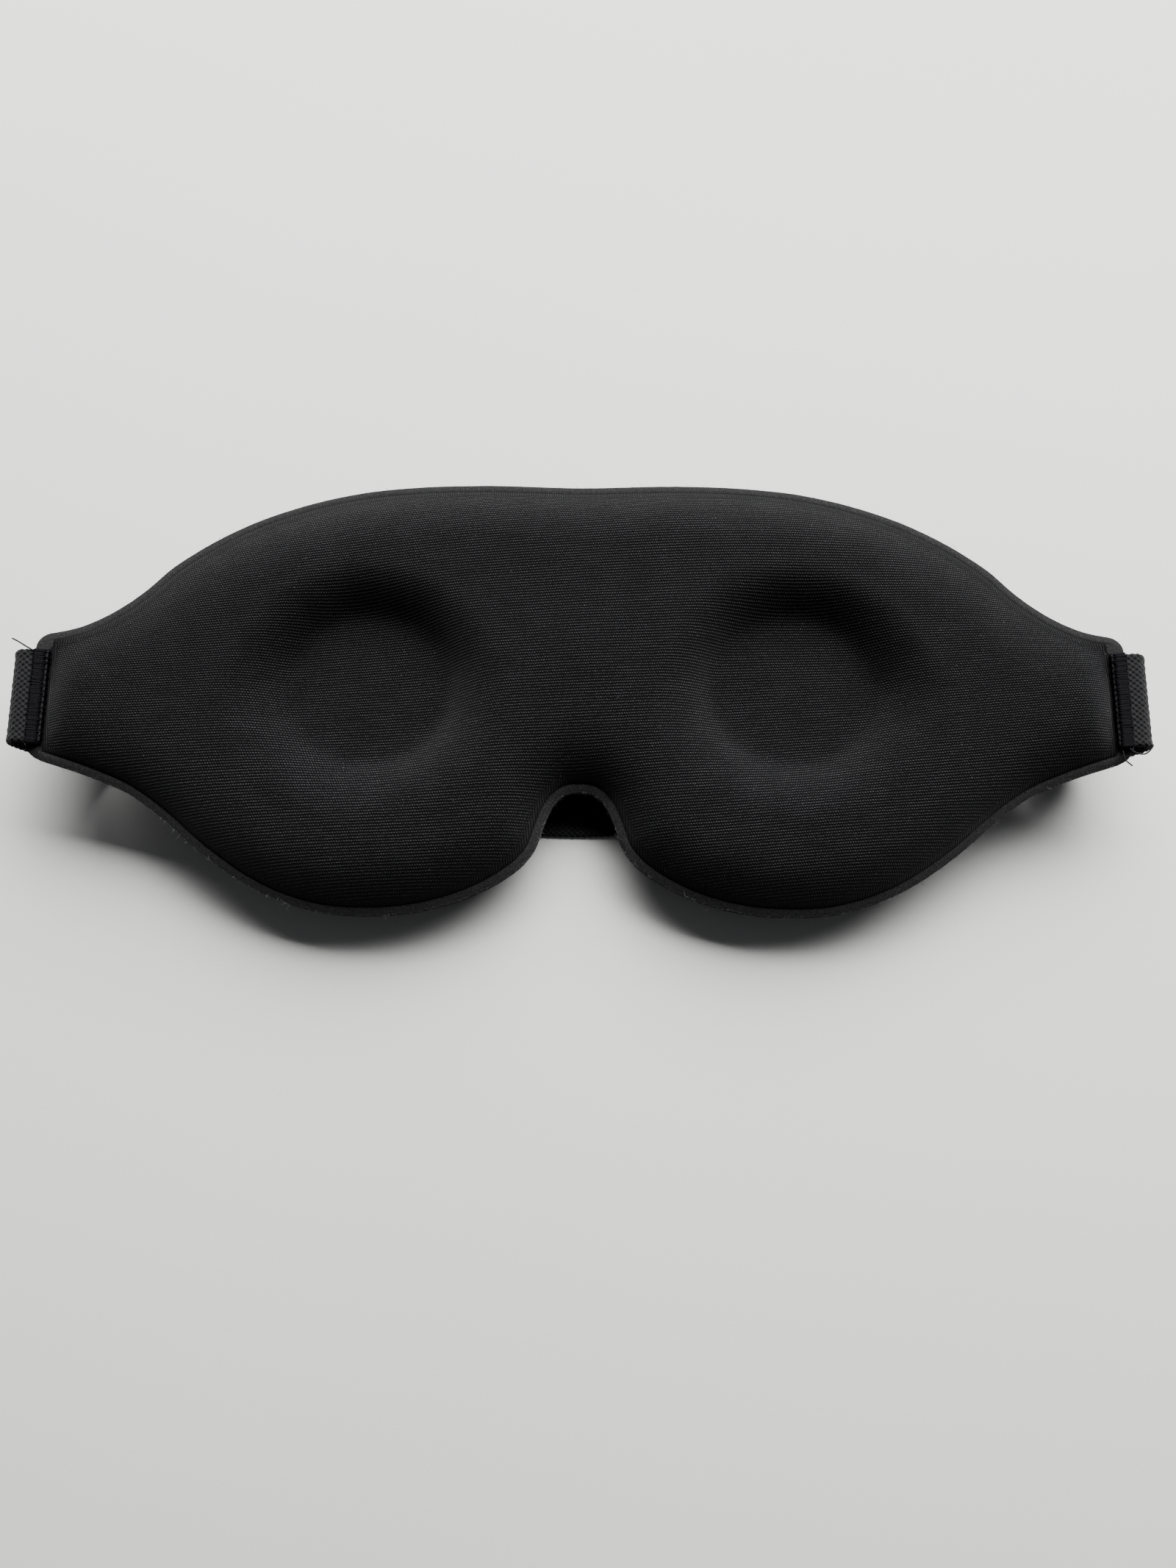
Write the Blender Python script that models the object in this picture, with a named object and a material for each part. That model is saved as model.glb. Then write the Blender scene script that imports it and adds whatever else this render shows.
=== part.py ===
"""A contoured sleep eye mask lying face side up on its own folded elastic strap.

+X runs along the mask, +Y towards the brow edge and +Z up, from the front of the mask to the
wearer's face. The mask is three plies: a face cover, a moulded foam core and a front cover.
The strap is sewn on the face side of both wing ends, folds over and runs back under the mask,
through a slider and round a ring that hangs in a short tab. All lengths are in metres.
"""

import math

import bmesh
import bpy
import numpy as np
from mathutils import Matrix, Vector

# Mask outline
MASK_LENGTH = 0.230
MASK_HEIGHT = 0.098
WING_CORNER = 0.0025
FLANGE = 0.0018
WING_FLANGE = 0.0034
WALL = 0.0150
NOSE_WALL = 0.0070
NOSE_SPREAD = 0.0140
END_WALL = 0.0080
WALL_POWER = 2.2
WING_CURL = 0.011
CURL_FROM = 0.045

# Plies, from the front to the face
COVER_THICK = 0.0005
FOAM_LEAST = 0.0008
GAP = 0.0003

# Moulded shape
PAD_RISE = 0.0076
WING_PAD_RISE = 0.0052
BELLY = 0.0012
DOME_DEPTH = 0.0080
DOME_Y = 0.0035
DOME_HALF_LENGTH = 0.0290
DOME_HALF_HEIGHT = 0.0265
DOME_FLOOR = 0.05
RECESS_DEPTH = 0.0082
EYE_X = 0.0467
EYE_Y = 0.0006
FLOOR_HALF_LENGTH = 0.0182
FLOOR_HALF_HEIGHT = 0.0170
FLOOR_CORNER = 0.22
FLOOR_ROUNDING = 0.09
UPPER_SLOPE = 0.62
LOWER_SLOPE = 0.84
SLOPE_SPREAD = 1.2

# Elastic webbing
WEB_WIDTH = 0.020
WEB_THICK = 0.0010
SEAM_Y = -0.0047
SAG_Y = -0.0205
BEND_HALF = 0.030
SEWN = 0.0030
TACK_HEIGHT = 0.0005
TACK_OVERHANG = 0.0003
TACK_SHARE = 0.85
FOLD_OUT = 0.0042
DROP_IN = 0.0160

# Adjuster: ring, slider and the clearances of the webbing round their bars
RING_LENGTH = 0.009
RING_WIRE = 0.0018
RING_SWING = math.radians(12)
RING_INSET = 0.0140
SLIDER_BACK = 0.021
SLIDER_TRAVEL = 0.014
SLIDER_HALF = 0.005
SIDE_BAR = 0.0012
CENTRE_BAR = 0.0014
RAIL = 0.0015
SIDE_CLEAR = 0.0006
LOOP_REACH = 0.0065
CLIMB = 0.010
CLIMB_CLEAR = 0.003
TURN_LEAD = 0.002
CLOSED_FROM = 0.6
LOOP_STEPS = (0.2, 0.4, CLOSED_FROM)
LOWER_PLY_END = 0.86
STITCH_AT = 0.72
STITCH_LENGTH = 0.018
STITCH_WIDTH = 0.0018
STITCH_HEIGHT = 0.0004

# Outline of one half, as shares of the half length and the half height
BROW = (
    (0, 0.99), (0.20, 1), (0.33, 0.988), (0.435, 0.958), (0.55, 0.883), (0.652, 0.774),
    (0.739, 0.6355), (0.783, 0.545), (0.826, 0.43), (0.87, 0.334), (0.925, 0.246), (1, 0.181),
)
CHEEK = (
    (0, -0.455), (0.033, -0.475), (0.05, -0.517), (0.0655, -0.597), (0.08, -0.695), (0.10, -0.763),
    (0.135, -0.832), (0.174, -0.886), (0.27, -0.968), (0.383, -1), (0.50, -0.974), (0.59, -0.897),
    (0.696, -0.735), (0.77, -0.586), (0.826, -0.4935), (0.89, -0.429), (1, -0.35),
)
NOTCH_COLUMNS = (0, 0.018, 0.036, 0.05, 0.0625, 0.075, 0.088, 0.11, 0.14)

# What follows from them
HALF_LENGTH = MASK_LENGTH / 2
HALF_HEIGHT = MASK_HEIGHT / 2
PLY_STACK = 2 * COVER_THICK + FOAM_LEAST + 2 * GAP
BASE = DOME_DEPTH
SLOPE = (SEAM_Y - SAG_Y) / (HALF_LENGTH + FOLD_OUT - BEND_HALF / 2)
TURN = math.atan(SLOPE)
RAISED = SIDE_BAR + GAP + WEB_THICK / 2


def smooth_step(t):
    t = np.clip(t, 0, 1)
    return t * t * (3 - 2 * t)


def curve_through(points, at):
    """A cubic through the points, level at the first, that bends evenly through the others."""
    x, y = np.array(points, float).T
    step = np.diff(x)
    rise = np.diff(y) / step
    slope = np.zeros(len(x))
    slope[1:-1] = (step[1:] * rise[:-1] + step[:-1] * rise[1:]) / (step[1:] + step[:-1])
    slope[-1] = rise[-1]
    i = np.clip(np.searchsorted(x, at, side="right") - 1, 0, len(step) - 1)
    t = (at - x[i]) / step[i]
    keep = (1 + 2 * t) * (1 - t) ** 2 * y[i] + t**2 * (3 - 2 * t) * y[i + 1]
    return keep + step[i] * (t * (1 - t) ** 2 * slope[i] - t**2 * (1 - t) * slope[i + 1])


def corner_inset(x):
    over = np.clip(np.abs(x) - (HALF_LENGTH - WING_CORNER), 0, WING_CORNER)
    return WING_CORNER - np.sqrt(WING_CORNER**2 - over**2)


def brow_edge(x):
    return HALF_HEIGHT * curve_through(BROW, np.abs(x) / HALF_LENGTH) - corner_inset(x)


def cheek_edge(x):
    return HALF_HEIGHT * curve_through(CHEEK, np.abs(x) / HALF_LENGTH) + corner_inset(x)


def lean(edge, x):
    """How much longer a width measured along Y is than one square to the edge."""
    d = 1e-4
    inside = np.clip(np.abs(x), d, HALF_LENGTH - WING_CORNER - d)
    slope = (edge(inside + d) - edge(inside - d)) / (2 * d)
    return np.minimum(np.sqrt(1 + slope**2), 3)


def curl(x):
    reach = HALF_LENGTH - CURL_FROM
    return WING_CURL * (np.clip(np.abs(x) - CURL_FROM, 0, None) / reach) ** 2


def rounded_rise(t):
    """0 at the foot of the pad, steep at first, then rounding over to 1."""
    return 1 - (1 - np.clip(t, 0, 1)) ** WALL_POWER


def wall_share(x, y):
    """0 on the pressed flange, 1 on top of the pad."""
    low = (y - cheek_edge(x)) / lean(cheek_edge, x) - FLANGE
    high = (brow_edge(x) - y) / lean(brow_edge, x) - FLANGE
    end = HALF_LENGTH - np.abs(x) - WING_FLANGE
    low_wall = WALL + NOSE_WALL * np.exp(-((x / NOSE_SPREAD) ** 2))
    return rounded_rise(low / low_wall) * rounded_rise(high / WALL) * rounded_rise(end / END_WALL)


def hollow_share(x, y):
    """1 on the floor of the eye hollow, falling away from its edge and rounding over to the pad."""
    along = (np.abs(x) - EYE_X) / FLOOR_HALF_LENGTH
    across = (y - EYE_Y) / FLOOR_HALF_HEIGHT
    power = 2 - FLOOR_CORNER * smooth_step(along)
    beyond = (np.abs(along) ** power + np.abs(across) ** power) ** (1 / power) - 1
    beyond = (beyond + np.sqrt(beyond**2 + FLOOR_ROUNDING**2)) / 2
    slope = LOWER_SLOPE + (UPPER_SLOPE - LOWER_SLOPE) * smooth_step(0.5 + across / SLOPE_SPREAD)
    return (1 - np.clip(beyond / slope, 0, 1)) ** 2


def dome_share(x, y):
    """1 in the middle of the dome over an eye, falling to 0 at its rim."""
    along = (np.abs(x) - EYE_X) / DOME_HALF_LENGTH
    across = (y - DOME_Y) / DOME_HALF_HEIGHT
    return smooth_step((1 - np.hypot(along, across)) / (1 - DOME_FLOOR))


def face_height(x, y):
    """The face side of the mask."""
    wing = smooth_step((np.abs(x) - EYE_X) / (HALF_LENGTH - EYE_X))
    rise = PAD_RISE + (WING_PAD_RISE - PAD_RISE) * wing
    return BASE + PLY_STACK + curl(x) + rise * wall_share(x, y) - RECESS_DEPTH * hollow_share(x, y)


def front_depth(x, y):
    """How far the front side bulges below the flange."""
    return BELLY * wall_share(x, y) + (DOME_DEPTH - BELLY) * dome_share(x, y)


def front_height(x, y):
    return BASE + curl(x) - front_depth(x, y)


def material(name, colour, roughness):
    made = bpy.data.materials.new(name)
    made.use_nodes = True
    shader = made.node_tree.nodes["Principled BSDF"]
    shader.inputs["Base Color"].default_value = (*colour, 1)
    shader.inputs["Roughness"].default_value = roughness
    shader.inputs["Metallic"].default_value = 0
    return made


def finish(name, mesh, made_of):
    """An object of this mesh with its faces pointing out."""
    shell = bmesh.new()
    shell.from_mesh(mesh)
    bmesh.ops.recalc_face_normals(shell, faces=shell.faces)
    shell.to_mesh(mesh)
    shell.free()
    mesh.materials.append(made_of)
    mesh.shade_smooth()
    mesh.set_sharp_from_angle(angle=math.radians(40))
    made = bpy.data.objects.new(name, mesh)
    bpy.context.collection.objects.link(made)
    return made


def columns():
    """Places along X for the moulded plies, closest together at the nose notch and the wing ends."""
    pad_end = HALF_LENGTH - WING_FLANGE
    notch = np.array(NOTCH_COLUMNS) * HALF_LENGTH
    middle = np.linspace(notch[-1], pad_end - END_WALL, 18)[1:]
    wall = [pad_end - END_WALL / 2, pad_end - END_WALL / 6, pad_end]
    end = [HALF_LENGTH - WING_CORNER / 4, HALF_LENGTH]
    half = np.concatenate([notch, middle, wall, end])
    return np.concatenate([-half[:0:-1], half])


def rows(x, inner=11):
    """Places along Y at one X: both edges, both flanges' inner lines, both walls and the pad."""
    low, high = float(cheek_edge(x)), float(brow_edge(x))
    steps = np.array([0, FLANGE, FLANGE + WALL / 10, FLANGE + WALL / 4])
    up = low + steps * float(lean(cheek_edge, x))
    down = high - steps * float(lean(brow_edge, x))
    return np.concatenate([up, np.linspace(up[-1], down[-1], inner + 2)[1:-1], down[::-1]])


def ply(name, top, bottom, made_of):
    """A moulded ply between two height functions, over the whole outline."""
    along = columns()
    across = np.array([rows(x) for x in along])
    x = np.repeat(along[:, None], across.shape[1], axis=1)
    count = x.size
    above = np.stack([x, across, top(x, across)], axis=-1).reshape(-1, 3)
    below = np.stack([x, across, bottom(x, across)], axis=-1).reshape(-1, 3)
    index = np.arange(count).reshape(x.shape)
    near, right, far, left = index[:-1, :-1], index[1:, :-1], index[1:, 1:], index[:-1, 1:]
    halves = np.stack([near, right, far, near, far, left], axis=-1).reshape(-1, 3)
    rim = np.concatenate([index[:, 0], index[-1, 1:], index[-2::-1, -1], index[0, -2:0:-1]])
    beyond = np.roll(rim, -1)
    sides = np.stack([rim, beyond, beyond + count, rim + count], axis=-1)
    faces = [*halves.tolist(), *(halves[:, ::-1] + count).tolist(), *sides.tolist()]
    mesh = bpy.data.meshes.new(name)
    mesh.from_pydata(np.concatenate([above, below]).tolist(), [], faces)
    return finish(name, mesh, made_of)


def mask_plies():
    knit = material("black_knit", (0.018, 0.018, 0.021), 0.9)
    foam = material("foam", (0.03, 0.03, 0.033), 0.95)
    front = material("front_knit", (0.015, 0.015, 0.018), 0.9)
    lower = COVER_THICK + GAP
    ply("face_cover", face_height, lambda x, y: face_height(x, y) - COVER_THICK, knit)
    ply("foam_core", lambda x, y: face_height(x, y) - lower, lambda x, y: front_height(x, y) + lower, foam)
    ply("front_cover", lambda x, y: front_height(x, y) + COVER_THICK, front_height, front)


def strap_y(x):
    """The strap's centre line in plan: straight from the seams, rounded below the nose."""
    inner = np.minimum(np.abs(x), BEND_HALF)
    return SAG_Y + SLOPE * (inner**2 / (2 * BEND_HALF) + np.abs(x) - inner)


def round_path(points, per_span=5):
    """A Catmull-Rom curve through points."""
    p = np.array(points, float)
    p = np.concatenate([[2 * p[0] - p[1]], p, [2 * p[-1] - p[-2]]])
    t = np.arange(per_span)[:, None] / per_span
    found = []
    for a, b, c, d in zip(p[:-3], p[1:-2], p[2:-1], p[3:]):
        bend = (2 * a - 5 * b + 4 * c - d) * t**2 + (3 * b - a - 3 * c + d) * t**3
        found.append((2 * b + (c - a) * t + bend) / 2)
    return np.concatenate(found + [p[-2:-1]])


def webbing(name, path, across, made_of):
    """A flat band along path, with its width along the level directions in across."""
    path, across = np.array(path, float), np.array(across, float)
    ahead = np.gradient(path, axis=0)
    up = np.cross(ahead, across)
    up /= np.linalg.norm(up, axis=1)[:, None]
    wide, thick = across * WEB_WIDTH / 2, up * WEB_THICK / 2
    corners = [path - wide - thick, path + wide - thick, path + wide + thick, path - wide + thick]
    ring = np.stack(corners, axis=1)
    index = np.arange(len(path) * 4).reshape(-1, 4)
    near, far = index[:-1], index[1:]
    sides = np.stack([near, np.roll(near, -1, 1), np.roll(far, -1, 1), far], axis=-1).reshape(-1, 4)
    faces = [*sides.tolist(), index[0].tolist()[::-1], index[-1].tolist()]
    mesh = bpy.data.meshes.new(name)
    mesh.from_pydata(ring.reshape(-1, 3).tolist(), [], faces)
    return finish(name, mesh, made_of)


def seam_height(x):
    """The webbing's centre over the wing's flange."""
    return BASE + PLY_STACK + curl(x) + GAP + WEB_THICK / 2


def fold_points(land, floor):
    """(distance from the mask's centre, height) of a strap end, from the seam to where it lands."""
    start = HALF_LENGTH - SEWN
    out = HALF_LENGTH + FOLD_OUT
    top = float(seam_height(HALF_LENGTH))
    return [
        (start, float(seam_height(start))),
        (HALF_LENGTH, top),
        (HALF_LENGTH + 0.55 * FOLD_OUT, top + 0.0002),
        (out - 0.0003, top - 0.0018),
        (out - 0.0003, top - 0.0045),
        (out - 0.0030, top - 0.0100),
        (land + 0.45 * (out - land), floor + 0.22 * (top - floor)),
        (land + 0.15 * (out - land), floor + 0.03 * (top - floor)),
        (land, floor),
    ]


def strap_end(name, side, land, floor, made_of):
    """The sewn end and its fold. Its upper layer lies square to the seam and its lower one turns."""
    flat = round_path(fold_points(land, floor))
    out = int(np.argmax(flat[:, 0]))
    places, wide = [], []
    for i, (x, z) in enumerate(flat):
        share = smooth_step((i - out) / (len(flat) - 1 - out))
        y = SEAM_Y if i < out else float(strap_y(x)) + (SEAM_Y - float(strap_y(flat[out, 0])))
        angle = side * TURN * share
        places.append((side * x, y, z))
        wide.append((-math.sin(angle), math.cos(angle), 0))
    return webbing(name, places, wide, made_of)


def along_strap(x):
    """The level direction square to the strap at x."""
    d = 1e-4
    slope = (strap_y(x + d) - strap_y(x - d)) / (2 * d)
    size = np.hypot(1, slope)
    return (-slope / size, 1 / size, 0)


def adjuster_frame():
    """The frame of the adjuster: its origin under the ring's outer bar, +X along the strap."""
    x = HALF_LENGTH + FOLD_OUT - RING_INSET
    return Matrix.Translation((x, float(strap_y(x)), 0)) @ Matrix.Rotation(TURN, 4, "Z")


def ring_travel():
    return RING_LENGTH * math.sin(RING_SWING)


def run_loop_radius():
    """Centre radius of the strap's turn round the ring's inner bar, with room for the ring to swing up."""
    return (RING_WIRE + ring_travel() + 2 * GAP + WEB_THICK) / 2


def ring_height():
    """The ring lies on the strap's lower layer."""
    return RAISED + WEB_THICK / 2 + GAP + RING_WIRE / 2


def bar_loop_radius(bar):
    """Centre radius of webbing that wraps a bar closely."""
    return bar / 2 + GAP + WEB_THICK / 2


def slider_bar_height():
    return RAISED + WEB_THICK + GAP + bar_loop_radius(CENTRE_BAR)


def turned(points, name, made_of):
    """Webbing square to the adjuster, along (x, z) points in its frame."""
    frame = adjuster_frame()
    places = [frame @ Vector((x, 0, z)) for x, z in points]
    wide = frame.to_3x3() @ Vector((0, 1, 0))
    return webbing(name, places, [wide] * len(places), made_of)


def u_turn(x, z, radius, steps=8, outward=True):
    """Points of a half circle from below to above a bar at (x, z)."""
    sign = 1 if outward else -1
    angles = np.linspace(-math.pi / 2, math.pi / 2, steps + 1)
    return [(x + sign * radius * math.cos(a), z + radius * math.sin(a)) for a in angles]


def closing_loop(bar_x, bar_z, radius, reach):
    """A U of webbing round a bar whose two plies close together and end at reach."""
    closed = WEB_THICK / 2 + GAP / 2
    opening = [(t, closed + (radius - closed) * float(1 - smooth_step(t / CLOSED_FROM))) for t in LOOP_STEPS]
    path = [(bar_x + reach * LOWER_PLY_END, bar_z - closed)]
    path += [(bar_x + reach * t, bar_z - half) for t, half in reversed(opening)]
    path += u_turn(bar_x, bar_z, radius, outward=False)
    path += [(bar_x + reach * t, bar_z + half) for t, half in opening]
    return path + [(bar_x + reach, bar_z + closed)]


def low_bar(name, length, width, height, place, made_of):
    """A low bar of thread along local Y, with rounded edges."""
    mesh = bpy.data.meshes.new(name)
    shape = bmesh.new()
    bmesh.ops.create_cube(shape, size=1, matrix=Matrix.Diagonal((width, length, height, 1)))
    shape.to_mesh(mesh)
    shape.free()
    made = finish(name, mesh, made_of)
    made.matrix_world = place
    rounding = made.modifiers.new("rounded", "BEVEL")
    rounding.width = height * 0.3
    rounding.segments = 2
    return made


def bar_tack(name, side, made_of):
    """Dense stitching over the sewn end, on the slope of the wing."""
    x = HALF_LENGTH - SEWN / 2
    slope = math.atan2(float(seam_height(x + 1e-4) - seam_height(x - 1e-4)), 2e-4)
    lift = WEB_THICK / 2 + GAP + TACK_HEIGHT / 2
    seam = Matrix.Translation((side * x, SEAM_Y, float(seam_height(x))))
    place = seam @ Matrix.Rotation(-side * slope, 4, "Y") @ Matrix.Translation((0, 0, lift))
    return low_bar(name, WEB_WIDTH + 2 * TACK_OVERHANG, SEWN * TACK_SHARE, TACK_HEIGHT, place, made_of)


def stitch_row(name, x, z, made_of):
    """A row of stitches across two closed plies, on the upper one."""
    lift = WEB_THICK + GAP / 2 + GAP + STITCH_HEIGHT / 2
    place = adjuster_frame() @ Matrix.Translation((x, 0, z + lift))
    return low_bar(name, STITCH_LENGTH, STITCH_WIDTH, STITCH_HEIGHT, place, made_of)


def strap_run(made_of):
    """The strap from the left fold, under the mask and the slider, and round the ring's inner bar."""
    left = -(HALF_LENGTH + FOLD_OUT - DROP_IN) + GAP
    low = WEB_THICK / 2
    slider_reach = SLIDER_BACK + SLIDER_TRAVEL + SLIDER_HALF + SIDE_BAR
    climb_to = HALF_LENGTH + FOLD_OUT - RING_INSET - slider_reach - CLIMB_CLEAR
    flat = np.concatenate([np.linspace(left, -BEND_HALF, 5)[:-1], np.linspace(-BEND_HALF, BEND_HALF, 9)])
    climb = np.linspace(BEND_HALF, climb_to, 7)[1:]
    places, wide = [], []
    for x in [*flat, *climb]:
        share = float(smooth_step((x - climb_to + CLIMB) / CLIMB))
        places.append((x, float(strap_y(x)), low + (RAISED - low) * share))
        wide.append(along_strap(x))
    frame = adjuster_frame()
    square = frame.to_3x3() @ Vector((0, 1, 0))
    radius = run_loop_radius()
    turn = [(-RING_LENGTH - 2 * TURN_LEAD, RAISED)] + u_turn(-RING_LENGTH, RAISED + radius, radius)
    turn.append((-RING_LENGTH - TURN_LEAD, RAISED + 2 * radius))
    for x, z in turn:
        places.append(tuple(frame @ Vector((x, 0, z))))
        wide.append(tuple(square))
    return webbing("strap_run", places, wide, made_of)


def return_run(made_of):
    """The strap's free layer from the ring back to the slider."""
    start = -RING_LENGTH - TURN_LEAD - GAP
    end = -SLIDER_BACK + LOOP_REACH + GAP
    top = RAISED + 2 * run_loop_radius()
    low = slider_bar_height() + WEB_THICK / 2 + GAP / 2
    shares = np.linspace(0, 1, 7)
    points = [(start + (end - start) * s, top + (low - top) * float(smooth_step(s))) for s in shares]
    return turned(points, "return_run", made_of)


def straps():
    web = material("black_webbing", (0.02, 0.02, 0.022), 0.8)
    thread = material("black_thread", (0.03, 0.028, 0.034), 0.5)
    radius = bar_loop_radius(RING_WIRE)
    closed = WEB_THICK / 2 + GAP / 2
    ring_z = ring_height()
    strap_end("left_strap_end", -1, HALF_LENGTH + FOLD_OUT - DROP_IN, WEB_THICK / 2, web)
    junction = HALF_LENGTH + FOLD_OUT - RING_INSET + (LOOP_REACH + GAP) * math.cos(TURN)
    strap_end("right_strap_end", 1, junction, ring_z + closed, web)
    strap_run(web)
    return_run(web)
    turned(closing_loop(0, ring_z, radius, LOOP_REACH), "tab_loop", web)
    stitch_row("tab_stitch", LOOP_REACH * STITCH_AT, ring_z, thread)
    bar_z = slider_bar_height()
    slider_x = -SLIDER_BACK
    turned(closing_loop(slider_x, bar_z, bar_loop_radius(CENTRE_BAR), LOOP_REACH), "slider_loop", web)
    stitch_row("slider_stitch", slider_x + LOOP_REACH * STITCH_AT, bar_z, thread)
    for name, side in (("left_bar_tack", -1), ("right_bar_tack", 1)):
        bar_tack(name, side, thread)


def adjuster_ring(made_of):
    """A rectangular wire ring, with its outer bar on its own local Y axis."""
    inner = WEB_WIDTH / 2 + SIDE_CLEAR + RING_WIRE / 2
    corner = RING_WIRE
    points = []
    bars = ((0, inner, 0), (-RING_LENGTH, inner, 90), (-RING_LENGTH, -inner, 180), (0, -inner, 270))
    for cx, cy, start in bars:
        inward = Vector((-corner if cx == 0 else corner, -corner if cy > 0 else corner))
        for step in range(5):
            angle = math.radians(start + 22.5 * step)
            x = cx + inward.x + corner * math.cos(angle)
            y = cy + inward.y + corner * math.sin(angle)
            points.append((x, y))
    curve = bpy.data.curves.new("adjuster_ring", "CURVE")
    curve.dimensions = "3D"
    spline = curve.splines.new("POLY")
    spline.points.add(len(points) - 1)
    for point, (x, y) in zip(spline.points, points):
        point.co = (x, y, 0, 1)
    spline.use_cyclic_u = True
    curve.bevel_depth = RING_WIRE / 2
    curve.bevel_resolution = 2
    curve.materials.append(made_of)
    ring = bpy.data.objects.new("adjuster_ring", curve)
    bpy.context.collection.objects.link(ring)
    ring.matrix_world = adjuster_frame() @ Matrix.Translation((0, 0, ring_height()))
    return ring


def plate(name, side, made_of):
    """One side plate of the slider, a low trapezoid outside the webbing."""
    top = slider_bar_height() + CENTRE_BAR / 2
    foot = SLIDER_HALF + SIDE_BAR
    inner = side * (WEB_WIDTH / 2 + SIDE_CLEAR)
    outer = inner + side * RAIL
    base = ((-foot, SIDE_BAR), (-foot, 0), (foot, 0), (foot, SIDE_BAR))
    outline = (*base, (CENTRE_BAR, top), (-CENTRE_BAR, top))
    verts = [(x, y, z) for y in (inner, outer) for x, z in outline]
    n = len(outline)
    faces = [tuple(range(n)), tuple(range(2 * n - 1, n - 1, -1))]
    faces += [(i, (i + 1) % n, (i + 1) % n + n, i + n) for i in range(n)]
    mesh = bpy.data.meshes.new(name)
    mesh.from_pydata(verts, [], faces)
    return finish(name, mesh, made_of)


def cross_bar(name, x, z, size, made_of):
    """A bar of the slider from plate to plate."""
    length = WEB_WIDTH + 2 * SIDE_CLEAR + RAIL
    mesh = bpy.data.meshes.new(name)
    shape = bmesh.new()
    turn = Matrix.Translation((x, 0, z)) @ Matrix.Rotation(math.pi / 2, 4, "X")
    bmesh.ops.create_cone(
        shape, cap_ends=True, segments=10, radius1=size / 2, radius2=size / 2, depth=length, matrix=turn
    )
    shape.to_mesh(mesh)
    shape.free()
    return finish(name, mesh, made_of)


def adjuster_slider(made_of):
    """Two low bars under the strap and a high bar over it, joined by a plate at each side."""
    body = plate("adjuster_slider", 1, made_of)
    place = adjuster_frame() @ Matrix.Translation((-SLIDER_BACK, 0, 0))
    others = [plate("slider_plate_helper", -1, made_of)]
    others += [
        cross_bar(f"slider_bar_helper_{i}", x, z, size, made_of)
        for i, (x, z, size) in enumerate(
            (
                (-SLIDER_HALF, SIDE_BAR / 2, SIDE_BAR),
                (SLIDER_HALF, SIDE_BAR / 2, SIDE_BAR),
                (0, slider_bar_height(), CENTRE_BAR),
            )
        )
    ]
    body.matrix_world = place
    for other in others:
        other.matrix_world = place
        other.hide_render = True
        other.display_type = "WIRE"
        join = body.modifiers.new(other.name, "BOOLEAN")
        join.operation = "UNION"
        join.solver = "EXACT"
        join.object = other
    return body


def main():
    for old in list(bpy.data.objects):
        bpy.data.objects.remove(old)
    mask_plies()
    straps()
    plastic = material("black_plastic", (0.025, 0.025, 0.027), 0.45)
    adjuster_ring(plastic)
    adjuster_slider(plastic)


main()
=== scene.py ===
"""The looks of a contoured black sleep eye mask, lying face side up on its folded elastic strap."""

import math

import bpy
import numpy as np
from mathutils import Matrix, Vector, noise
from mathutils.kdtree import KDTree


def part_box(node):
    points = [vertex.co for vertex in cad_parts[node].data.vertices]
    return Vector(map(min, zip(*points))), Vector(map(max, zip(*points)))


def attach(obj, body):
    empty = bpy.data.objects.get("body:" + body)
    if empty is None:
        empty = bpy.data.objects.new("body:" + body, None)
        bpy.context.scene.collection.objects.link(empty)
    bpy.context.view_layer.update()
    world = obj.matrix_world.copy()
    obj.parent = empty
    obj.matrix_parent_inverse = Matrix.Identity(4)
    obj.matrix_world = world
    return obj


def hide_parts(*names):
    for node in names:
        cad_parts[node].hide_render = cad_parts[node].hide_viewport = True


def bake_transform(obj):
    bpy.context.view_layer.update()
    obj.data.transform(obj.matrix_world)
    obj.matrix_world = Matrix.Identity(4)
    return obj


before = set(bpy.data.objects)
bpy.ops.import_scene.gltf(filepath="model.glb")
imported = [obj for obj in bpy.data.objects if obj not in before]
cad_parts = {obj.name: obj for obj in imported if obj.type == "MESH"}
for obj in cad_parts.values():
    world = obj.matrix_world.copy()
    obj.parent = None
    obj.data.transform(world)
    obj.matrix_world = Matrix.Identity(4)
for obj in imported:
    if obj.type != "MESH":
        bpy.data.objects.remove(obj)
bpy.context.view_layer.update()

MM = 0.001

# The moulded plies: outline, pad, eye hollows and front domes
_, FACE_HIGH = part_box("face_cover")
HALF_LENGTH = FACE_HIGH.x
HALF_HEIGHT = FACE_HIGH.y
WING_CORNER = 2.5 * MM
FLANGE = 1.8 * MM
WING_FLANGE = 3.4 * MM
WALL = 15 * MM
NOSE_WALL = 3 * MM
NOSE_SPREAD = 14 * MM
END_WALL = 8 * MM
BROW_POWER = 2.2
CHEEK_POWER = 3.3
WING_CURL = 11 * MM
CURL_FROM = 45 * MM
PLY_STACK = 2.4 * MM
COVER_THICK = 0.62 * MM
PAD_RISE = 7.6 * MM
WING_PAD_RISE = 5.2 * MM
BELLY = 1.2 * MM
BRIDGE_RISE = 0.7 * MM
BRIDGE_Y = 8 * MM
BRIDGE_SPREAD = 13 * MM
DROOP = 0.6 * MM
GROOVE_WIDTH = 0.25 * MM
DOME_DEPTH = 8.0 * MM
BASE = DOME_DEPTH
DOME_Y = 3.5 * MM
RECESS_DEPTH = 8.2 * MM
EYE_X = 46.7 * MM
EYE_Y = 0.6 * MM
FLOOR_HALF_LENGTH = 18.2 * MM
FLOOR_HALF_HEIGHT = 17.0 * MM
UPPER_SLOPE = 0.62
LOWER_SLOPE = 0.84
HOLLOW_ROUNDING = 0.09
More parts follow.
